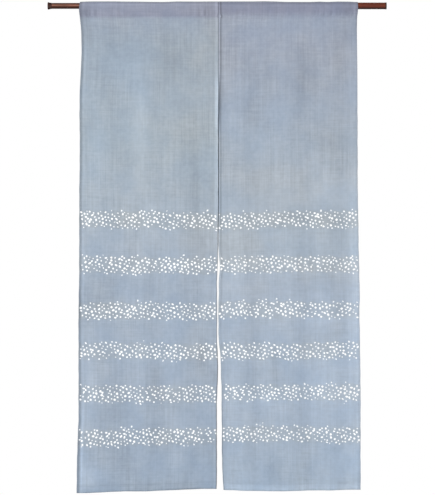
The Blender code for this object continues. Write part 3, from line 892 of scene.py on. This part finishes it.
class Tree:
    """Adds nodes to one material and links them."""

    def __init__(self, name):
        self.material = bpy.data.materials.new(name)
        self.material.use_nodes = True
        self.tree = self.material.node_tree
        self.shader = self.tree.nodes["Principled BSDF"]

    def put(self, socket, value):
        if isinstance(value, bpy.types.NodeSocket):
            self.tree.links.new(value, socket)
        else:
            socket.default_value = value

    def node(self, kind, **settings):
        made = self.tree.nodes.new(kind)
        for name, value in settings.items():
            setattr(made, name, value)
        return made

    def maths(self, operation, *values, clamp=False):
        made = self.node("ShaderNodeMath", operation=operation, use_clamp=clamp)
        for socket, value in zip(made.inputs, values):
            self.put(socket, value)
        return made.outputs[0]

    def vector_maths(self, operation, *values):
        made = self.node("ShaderNodeVectorMath", operation=operation)
        for socket, value in zip(made.inputs, values):
            self.put(socket, value)
        return made.outputs["Value"] if operation == "LENGTH" else made.outputs["Vector"]

    def turned(self, vector, angle):
        made = self.node("ShaderNodeVectorRotate", rotation_type="Z_AXIS")
        self.put(made.inputs["Vector"], vector)
        self.put(made.inputs["Angle"], angle)
        return made.outputs[0]

    def noise(self, vector, scale, detail=2.0, roughness=0.5, dimensions="2D"):
        made = self.node("ShaderNodeTexNoise", noise_dimensions=dimensions)
        self.put(made.inputs["Vector"], vector)
        self.put(made.inputs["Scale"], scale)
        self.put(made.inputs["Detail"], detail)
        self.put(made.inputs["Roughness"], roughness)
        return made.outputs["Fac"]

    def mapped(self, value, low, high, to_low=0.0, to_high=1.0, smooth=False):
        made = self.node("ShaderNodeMapRange")
        made.interpolation_type = "SMOOTHSTEP" if smooth else "LINEAR"
        for name, number in (
            ("Value", value), ("From Min", low), ("From Max", high), ("To Min", to_low), ("To Max", to_high),
        ):
            self.put(made.inputs[name], number)
        return made.outputs["Result"]

    def mixed(self, factor, one, other, blend="MIX"):
        made = self.node("ShaderNodeMix", data_type="RGBA", blend_type=blend)
        self.put(made.inputs["Factor"], factor)
        self.put(made.inputs[6], one)
        self.put(made.inputs[7], other)
        return made.outputs[2]

    def ramp(self, value, stops):
        made = self.node("ShaderNodeValToRGB")
        elements = made.color_ramp.elements
        while len(elements) < len(stops):
            elements.new(0.5)
        for element, (place, colour) in zip(elements, stops):
            element.position = place
            element.color = (*colour, 1.0)
        self.put(made.inputs["Fac"], value)
        return made.outputs["Color"]

    def attribute(self, name):
        made = self.node("ShaderNodeAttribute", attribute_name=name)
        return made.outputs["Fac"]

    def scaled(self, vector, across, along):
        return self.vector_maths("MULTIPLY", vector, (across, along, 0.0))

    def bump(self, height, distance, strength=1.0, normal=None):
        made = self.node("ShaderNodeBump")
        made.inputs["Strength"].default_value = strength
        made.inputs["Distance"].default_value = distance
        self.put(made.inputs["Height"], height)
        if normal is not None:
            self.put(made.inputs["Normal"], normal)
        return made.outputs["Normal"]


def weave_height(tree, place):
    """A plain weave: each thread goes over one and under the next, and none is quite as thick."""
    pitch = math.pi / (THREAD_PITCH * MM)
    parts = tree.node("ShaderNodeSeparateXYZ")
    tree.put(parts.inputs[0], place)
    over = tree.maths("SINE", tree.maths("MULTIPLY", parts.outputs["X"], pitch))
    under = tree.maths("SINE", tree.maths("MULTIPLY", parts.outputs["Y"], pitch))
    return tree.maths("MULTIPLY_ADD", tree.maths("MULTIPLY", over, under), 0.5, 0.5)


def slub_tone(tree, place):
    """Streaks of thicker and thinner thread, along the warp and along the weft."""
    total = None
    for across, along, reach in SLUBS:
        streak = tree.noise(tree.scaled(place, across, along), 1.0, 2.0, 0.6)
        streak = tree.mapped(streak, 0.3, 0.7, -reach, reach)
        total = streak if total is None else tree.maths("ADD", total, streak)
    clearer = tree.mapped(tree.noise(place, 9.0, 2.0, 0.5), 0.35, 0.65, 0.55, 1.35)
    return tree.maths("MULTIPLY", total, clearer)


def nearest_band(tree, height):
    """How far a height on the cloth is from the nearest band's middle line, in metres."""
    nearest = None
    for band in BANDS:
        away = tree.maths("ABSOLUTE", tree.maths("SUBTRACT", height, band.height * MM))
        nearest = away if nearest is None else tree.maths("MINIMUM", nearest, away)
    return nearest


def leaned(tree, vector, lean, rise):
    """A vector's X plus its Y times the lean, and its Y times the rise."""
    parts = tree.node("ShaderNodeSeparateXYZ")
    tree.put(parts.inputs[0], vector)
    made = tree.node("ShaderNodeCombineXYZ")
    tree.put(made.inputs["X"], tree.maths("MULTIPLY_ADD", parts.outputs["Y"], lean, parts.outputs["X"]))
    tree.put(made.inputs["Y"], tree.maths("MULTIPLY", parts.outputs["Y"], rise))
    return made.outputs[0]


def dot_mask(tree, place, panel):
    """White dots scattered in bands: one dot to a cell, each with its own size, turn and stretch.
    The cells are those of a honeycomb, turned and shaken. It gives the dots and where a band is."""
    pitch = DOT_PITCH * MM
    on_print = tree.turned(tree.scaled(place, 1.0 / pitch, 1.0 / pitch), math.radians(LAYOUT_TURN))
    cells = tree.node("ShaderNodeTexVoronoi", voronoi_dimensions="2D", feature="F1")
    cells.inputs["Scale"].default_value = 1.0
    cells.inputs["Randomness"].default_value = DOT_SHAKE
    tree.put(cells.inputs["Vector"], leaned(tree, on_print, -0.5 / ROW_RISE, 1.0 / ROW_RISE))
    middle = leaned(tree, cells.outputs["Position"], 0.5, ROW_RISE)
    chances = tree.node("ShaderNodeSeparateColor")
    tree.put(chances.inputs[0], cells.outputs["Color"])
    first, second, third = chances.outputs
    fourth = tree.node("ShaderNodeTexWhiteNoise", noise_dimensions="2D")
    tree.put(fourth.inputs["Vector"], middle)
    offset = tree.vector_maths("SUBTRACT", on_print, middle)
    turned = tree.turned(offset, tree.maths("MULTIPLY", first, math.pi))
    stretch = tree.mapped(tree.maths("POWER", second, 1.6), 0.0, 1.0, 1.0, 1.34)
    parts = tree.node("ShaderNodeSeparateXYZ")
    tree.put(parts.inputs[0], turned)
    longer = tree.maths("DIVIDE", parts.outputs["X"], stretch)
    shorter = tree.maths("MULTIPLY", parts.outputs["Y"], stretch)
    squared = tree.maths("ADD", tree.maths("POWER", longer, 2.0), tree.maths("POWER", shorter, 2.0))
    away = tree.maths("SQRT", squared)
    shaken = tree.noise(place, 420.0, 1.0, 0.5)
    away = tree.maths("ADD", away, tree.mapped(shaken, 0.3, 0.7, -0.035, 0.035))

    dot_place = tree.turned(middle, -math.radians(LAYOUT_TURN))
    dot_place = tree.scaled(dot_place, pitch, pitch)
    spot = tree.node("ShaderNodeSeparateXYZ")
    tree.put(spot.inputs[0], dot_place)
    from_band = nearest_band(tree, spot.outputs["Y"])
    half_band = BAND_HALF_HEIGHT * MM
    fringe = tree.mapped(from_band, 0.55 * half_band, 1.1 * half_band, 1.04, 0.8)
    size = DOT_RADIUS / DOT_PITCH
    radius = tree.mapped(third, 0.0, 1.0, SMALLEST_DOT * size, LARGEST_DOT * size)
    radius = tree.maths("MULTIPLY", radius, fringe)
    soft = DOT_SOFTNESS / DOT_PITCH
    inside = tree.mapped(tree.maths("SUBTRACT", radius, away), -soft, soft, 0.0, 1.0, smooth=True)

    wandering = tree.mapped(tree.noise(dot_place, 16.0, 1.0, 0.5), 0.25, 0.75, -0.14, 0.14)
    chance = tree.maths("POWER", fourth.outputs["Value"], 2.2)
    reach = tree.maths("ADD", tree.mapped(chance, 0.0, 1.0, 0.94, 1.34), wandering)
    reach = tree.maths("MULTIPLY", reach, half_band)
    kept = tree.maths("LESS_THAN", from_band, reach)
    left_end = (panel.u_start + panel.unprinted_left) * MM
    right_end = (panel.u_start + PANEL_WIDTH - panel.unprinted_right) * MM
    kept = tree.maths("MULTIPLY", kept, tree.maths("GREATER_THAN", spot.outputs["X"], left_end))
    kept = tree.maths("MULTIPLY", kept, tree.maths("LESS_THAN", spot.outputs["X"], right_end))
    printed = tree.maths("LESS_THAN", fourth.outputs["Value"], SHARE_PRINTED)
    strength = tree.mapped(third, 0.0, 0.5, FAINTEST_DOT, 1.0)
    dots = tree.maths("MULTIPLY", inside, strength)
    dots = tree.maths("MULTIPLY", dots, tree.maths("MULTIPLY", kept, printed))
    around = tree.mapped(from_band, 1.15 * half_band, 0.85 * half_band, smooth=True)
    return dots, around


def cloth_material(panel, tones):
    """Dyed linen-like cloth. The tones are (height in mm, screen colour) from the bottom to the top."""
    tree = Tree(panel.name)
    uv = tree.node("ShaderNodeUVMap", uv_map=WEAVE_MAP)
    place = uv.outputs["UV"]
    parts = tree.node("ShaderNodeSeparateXYZ")
    tree.put(parts.inputs[0], place)
    bottom, top = tones[0][0], tones[-1][0]
    height = tree.mapped(parts.outputs["Y"], bottom * MM, top * MM)
    stops = [((at - bottom) / (top - bottom), linear(*colour)) for at, colour in tones]
    colour = tree.ramp(height, stops)
    warmth = tree.mapped(tree.noise(place, 9.0, 3.0, 0.6), 0.3, 0.7, -0.65, 0.65)
    warmth = tree.maths("ADD", warmth, tree.attribute("tint"))
    cool = tree.mixed(1.0, colour, (0.955, 0.989, 1.04, 1.0), "MULTIPLY")
    warm = tree.mixed(1.0, colour, (1.045, 0.999, 0.96, 1.0), "MULTIPLY")
    colour = tree.mixed(tree.mapped(warmth, -1.0, 1.0), cool, warm)
    mottle = tree.mapped(tree.noise(place, 18.0, 3.0, 0.6), 0.3, 0.7, -0.04, 0.04)
    fine_mottle = tree.mapped(tree.noise(place, 80.0, 2.0, 0.6), 0.3, 0.7, -0.035, 0.035)
    tone = tree.maths("ADD", mottle, fine_mottle)
    tone = tree.maths("ADD", tone, slub_tone(tree, place))
    weave = weave_height(tree, place)
    # The weave's low places a little darker and its high places a little lighter: painted shade and light of
    # its threads.
    tone = tree.maths("ADD", tone, tree.mapped(weave, 0.0, 1.0, -0.015, 0.015))
    # The tone attribute adds the soft places, mostly painted light and shade of folds and edges; the shade
    # attribute multiplies in painted light and shade along the hems, the seam and the pocket.
    tone = tree.maths("ADD", tone, tree.attribute("tone"))
    bright = tree.maths("ADD", tone, 1.0)
    bright = tree.maths("MULTIPLY", bright, tree.attribute("shade"))
    scale = tree.node("ShaderNodeVectorMath", operation="SCALE")
    tree.put(scale.inputs[0], colour)
    tree.put(scale.inputs["Scale"], bright)
    dots, around = dot_mask(tree, place, panel)
    ground = tree.mixed(around, scale.outputs[0], tree.mixed(1.0, scale.outputs[0], BAND_GROUND, "MULTIPLY"))
    white = (*linear(*DOT_WHITE), 1.0)
    painted = tree.mixed(dots, ground, white)
    tree.put(tree.shader.inputs["Base Color"], painted)
    tree.shader.inputs["Roughness"].default_value = 0.88
    tree.shader.inputs["Specular IOR Level"].default_value = 0.25
    tree.shader.inputs["Sheen Weight"].default_value = 0.12
    tree.shader.inputs["Sheen Roughness"].default_value = 0.5
    slubs = tree.noise(tree.scaled(place, 300.0, 14.0), 1.0, 2.0, 0.6)
    normal = tree.bump(slubs, 0.16 * MM, 0.5)
    normal = tree.bump(weave, 0.09 * MM, 0.6, normal)
    tree.put(tree.shader.inputs["Normal"], normal)
    return tree.material


def thread_material():
    tree = Tree("sewing_thread")
    where = tree.node("ShaderNodeTexCoord").outputs["Object"]
    twist = tree.noise(where, 2600.0, 1.0, 0.5, "3D")
    # The thread's low places darker and its high places lighter, from the same noise as its bumps: painted
    # shade and light of its twist.
    colour = tree.mixed(twist, (*linear(128, 140, 155), 1.0), (*linear(168, 180, 194), 1.0))
    tree.put(tree.shader.inputs["Base Color"], colour)
    tree.shader.inputs["Roughness"].default_value = 0.7
    tree.shader.inputs["Sheen Weight"].default_value = 0.1
    tree.put(tree.shader.inputs["Normal"], tree.bump(twist, 0.1 * MM, 0.6))
    return tree.material


# Painted highlights and painted shade along the pole's pieces, read at a height: factors on the colour
PaintedLight = namedtuple("PaintedLight", "z red green blue")
BROWN_TUBE_PAINTED_LIGHT = [PaintedLight(*row) for row in (
    (-11, 0.25, 0.22, 0.2), (-4.9, 0.28, 0.24, 0.2), (-1.8, 0.78, 0.7, 0.62),
    (0.4, 2.3, 3.0, 3.5), (2.4, 2.1, 2.9, 3.4), (4.3, 0.8, 1.0, 1.15),
    (7.4, 0.8, 0.85, 0.9), (11, 0.8, 0.8, 0.8),
)]
RED_TUBE_PAINTED_LIGHT = [PaintedLight(*row) for row in (
    (-11, 0.22, 0.2, 0.18), (-8, 0.22, 0.2, 0.18), (-4.9, 0.82, 0.88, 0.86),
    (-1.8, 1.0, 0.98, 0.94), (1.2, 1.4, 1.6, 1.6), (4.3, 1.1, 1.25, 1.3),
    (7.4, 1.45, 1.9, 2.1), (11, 1.4, 1.7, 1.8),
)]
RUBBER_PAINTED_LIGHT = [PaintedLight(*row) for row in (
    (-13, 0.4, 0.38, 0.36), (-6, 0.6, 0.58, 0.56), (0, 1.0, 1.0, 1.0), (3, 1.1, 1.1, 1.1),
    (8, 0.9, 0.9, 0.9), (13, 0.9, 0.9, 0.9),
)]
BRIGHTEST = 4.0


def with_painted_light(tree, where, colour, painted_light):
    """A colour times the factors of the painted light and shade at its height."""
    height = tree.node("ShaderNodeSeparateXYZ")
    tree.put(height.inputs[0], where)
    low, high = painted_light[0].z, painted_light[-1].z
    stops = []
    for band in painted_light:
        factors = (band.red / BRIGHTEST, band.green / BRIGHTEST, band.blue / BRIGHTEST)
        stops.append(((band.z - low) / (high - low), factors))
    bright = tree.ramp(tree.mapped(height.outputs["Z"], low * MM, high * MM), stops)
    scale = tree.node("ShaderNodeVectorMath", operation="SCALE")
    tree.put(scale.inputs[0], tree.mixed(1.0, colour, bright, "MULTIPLY"))
    tree.put(scale.inputs["Scale"], BRIGHTEST)
    return scale.outputs[0]


def tube_material(name, painted_light, dark, middle, light, reddish):
    """A satin printed film with a wood grain that runs along the tube, with painted light and shade by
    height: a painted highlight and a dark painted underside.
    """
    tree = Tree(name)
    where = tree.node("ShaderNodeTexCoord").outputs["Object"]
    stretched = tree.vector_maths("MULTIPLY", where, (10.0, 330.0, 330.0))
    grain = tree.noise(stretched, 1.0, 4.0, 0.62, "3D")
    pores = tree.noise(tree.vector_maths("MULTIPLY", where, (45.0, 1500.0, 1500.0)), 1.0, 2.0, 0.5, "3D")
    patches = tree.noise(tree.vector_maths("MULTIPLY", where, (26.0, 8.0, 8.0)), 1.0, 2.0, 0.5, "3D")
    colour = tree.ramp(grain, ((0.3, linear(*dark)), (0.52, linear(*middle)), (0.72, linear(*light))))
    colour = tree.mixed(tree.mapped(patches, 0.5, 0.68, 0.0, 0.55), colour, (*linear(*reddish), 1.0))
    colour = tree.mixed(tree.mapped(pores, 0.56, 0.7, 0.0, 0.45), colour, (*linear(*dark), 1.0))
    tree.put(tree.shader.inputs["Base Color"], with_painted_light(tree, where, colour, painted_light))
    tree.shader.inputs["Specular IOR Level"].default_value = 0.2
    tree.put(tree.shader.inputs["Roughness"], tree.mapped(grain, 0.3, 0.7, 0.5, 0.38))
    tree.put(tree.shader.inputs["Normal"], tree.bump(pores, 0.06 * MM, 0.5))
    return tree.material


def rubber_material(name, dark, light):
    """Matt moulded rubber with a fine tooth and a little dust, with painted shade underneath and a faint
    painted highlight just above its middle.
    """
    tree = Tree(name)
    where = tree.node("ShaderNodeTexCoord").outputs["Object"]
    tooth = tree.noise(where, 1400.0, 2.0, 0.6, "3D")
    dust = tree.noise(where, 160.0, 3.0, 0.6, "3D")
    colour = tree.mixed(tree.mapped(dust, 0.35, 0.75), (*linear(*dark), 1.0), (*linear(*light), 1.0))
    tree.put(tree.shader.inputs["Base Color"], with_painted_light(tree, where, colour, RUBBER_PAINTED_LIGHT))
    tree.shader.inputs["Specular IOR Level"].default_value = 0.3
    tree.put(tree.shader.inputs["Roughness"], tree.mapped(dust, 0.3, 0.7, 0.55, 0.72))
    tree.put(tree.shader.inputs["Normal"], tree.bump(tooth, 0.08 * MM, 0.6))
    return tree.material


def floor_material():
    tree = Tree("pale_floor")
    where = tree.node("ShaderNodeTexCoord").outputs["Object"]
    cloudy = tree.noise(where, 1.6, 2.0, 0.5, "3D")
    colour = tree.mixed(cloudy, (0.78, 0.78, 0.78, 1.0), (0.83, 0.83, 0.83, 1.0))
    tree.put(tree.shader.inputs["Base Color"], colour)
    tree.shader.inputs["Roughness"].default_value = 0.8
    return tree.material


# Screen colours of the cloth by height, in millimetres, and of the dots. The left panel's are mostly a little
# darker than the right's: painted shade that evens out the key lamp, which falls more on it.
LEFT_TONES = (
    (-1495, (147, 162, 179)), (-1400, (151, 165, 181)), (-1125, (154, 167, 182)), (-870, (154, 167, 182)),
    (-730, (156, 168, 181)), (-420, (155, 167, 177)), (-110, (149, 160, 171)), (-39, (148, 158, 171)),
    (-31, (139, 144, 160)),
)
RIGHT_TONES = (
    (-1495, (155, 170, 186)), (-1257, (161, 175, 191)), (-1125, (158, 172, 188)), (-870, (161, 173, 187)),
    (-730, (161, 173, 185)), (-420, (157, 168, 180)), (-110, (152, 161, 176)), (-42, (150, 159, 174)),
    (-16, (134, 139, 157)),
)
DOT_WHITE = (251, 252, 253)
BAND_GROUND = (1.0, 0.975, 0.935, 1.0)

# Camera, in millimetres: it looks level at the middle of the curtain, from far off.
CAMERA_DISTANCE = 6000.0
CAMERA_X = 1.2
CAMERA_Z = -741.7
VIEW_HEIGHT = 1519.65
SENSOR = 36.0

# Floor of the doorway
FLOOR_Z = -1900.0
FLOOR_FRONT_Y = -2600.0
FLOOR_BACK_Y = 1900.0
FLOOR_HALF_WIDTH = 2300.0
FLOOR_CORNER = 900.0


def pale_floor():
    """A flat floor with rounded corners, well below the curtain and out of the front view."""
    corners = (
        (FLOOR_HALF_WIDTH, FLOOR_BACK_Y, 0.0), (-FLOOR_HALF_WIDTH, FLOOR_BACK_Y, 90.0),
        (-FLOOR_HALF_WIDTH, FLOOR_FRONT_Y, 180.0), (FLOOR_HALF_WIDTH, FLOOR_FRONT_Y, 270.0),
    )
    points = []
    for x, y, turn in corners:
        centre_x = x - math.copysign(FLOOR_CORNER, x)
        centre_y = y - math.copysign(FLOOR_CORNER, y)
        for angle in np.radians(np.linspace(turn, turn + 90.0, 13)):
            round_x = centre_x + FLOOR_CORNER * math.cos(angle)
            round_y = centre_y + FLOOR_CORNER * math.sin(angle)
            points.append((round_x, round_y, FLOOR_Z))
    made = new_object("floor", points, np.arange(len(points))[None, :], [floor_material()])


def camera():
    data = bpy.data.cameras.new("camera")
    data.sensor_width = SENSOR
    data.lens = SENSOR * CAMERA_DISTANCE / VIEW_HEIGHT
    data.clip_end = 60.0
    made = bpy.data.objects.new("camera", data)
    made.location = (CAMERA_X * MM, -CAMERA_DISTANCE * MM, CAMERA_Z * MM)
    made.rotation_euler = (math.radians(90.0), 0.0, 0.0)
    bpy.context.scene.collection.objects.link(made)
    bpy.context.scene.camera = made


Light = namedtuple("Light", "name place size power")
LIGHTS = (
    Light("key", (-1750, -3560, 220), 2000, 126.0),
    Light("fill", (2600, -2800, -900), 2600, 35.0),
    Light("back", (600, 3200, 200), 2400, 90.0),
)
LIGHT_TARGET = (0.0, 0.0, -740.0)


def studio():
    for light in LIGHTS:
        data = bpy.data.lights.new(light.name, "AREA")
        data.shape = "SQUARE"
        data.size = light.size * MM
        data.energy = light.power
        made = bpy.data.objects.new(light.name, data)
        made.location = [value * MM for value in light.place]
        way = made.location.copy()
        way.x -= LIGHT_TARGET[0] * MM
        way.y -= LIGHT_TARGET[1] * MM
        way.z -= LIGHT_TARGET[2] * MM
        made.rotation_euler = way.to_track_quat("Z", "Y").to_euler()
        bpy.context.scene.collection.objects.link(made)


def white_room():
    """A white background that gives the room a softer, dimmer light than it shows."""
    world = bpy.data.worlds.new("white_room")
    world.use_nodes = True
    tree = world.node_tree
    shown = tree.nodes["Background"]
    shown.inputs["Color"].default_value = (1.0, 1.0, 1.0, 1.0)
    lighting = tree.nodes.new("ShaderNodeBackground")
    lighting.inputs["Color"].default_value = (0.97, 0.98, 1.0, 1.0)
    lighting.inputs["Strength"].default_value = 0.26
    path = tree.nodes.new("ShaderNodeLightPath")
    mix = tree.nodes.new("ShaderNodeMixShader")
    tree.links.new(path.outputs["Is Camera Ray"], mix.inputs["Fac"])
    tree.links.new(lighting.outputs["Background"], mix.inputs[1])
    tree.links.new(shown.outputs["Background"], mix.inputs[2])
    tree.links.new(mix.outputs["Shader"], tree.nodes["World Output"].inputs["Surface"])
    bpy.context.scene.world = world
    bpy.context.scene.view_settings.view_transform = "Standard"


def finish_pole():
    """Gives the pole's solids their materials."""
    finishes = {
        "pole_inner": tube_material(
            "tube_brown", BROWN_TUBE_PAINTED_LIGHT, (66, 34, 22), (94, 53, 38), (116, 72, 55), (114, 62, 48),
        ),
        "pole_outer": tube_material(
            "tube_red_brown", RED_TUBE_PAINTED_LIGHT, (68, 28, 18), (98, 44, 31), (118, 58, 42), (114, 52, 30),
        ),
        "pole_foot_left": rubber_material("foot_rubber", (44, 22, 15), (82, 50, 40)),
        "pole_cap_right": rubber_material("cap_rubber", (46, 30, 26), (84, 66, 62)),
    }
    for node, material in finishes.items():
        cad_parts[node].data.materials.clear()
        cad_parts[node].data.materials.append(material)


def hang_cloth():
    thread = thread_material()
    looks = ((LEFT_PANEL, LEFT_TONES, "panel_left"), (RIGHT_PANEL, RIGHT_TONES, "panel_right"))
    skins = []
    for panel, tones, node in looks:
        material = cloth_material(panel, tones)
        made, outer, inner, flat_rows = cloth_panel(panel, material)
        skins.append((outer, inner))
        sewing = [panel_stitches(panel, outer, inner, flat_rows, thread)]
        if panel is RIGHT_PANEL:
            sewing.append(seam_stitches(skins[0], skins[1], flat_rows, thread))
        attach(made, "root")
        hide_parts(node)
        for piece in sewing:
            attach(piece, "root")


finish_pole()
hang_cloth()
pale_floor()
camera()
studio()
white_room()
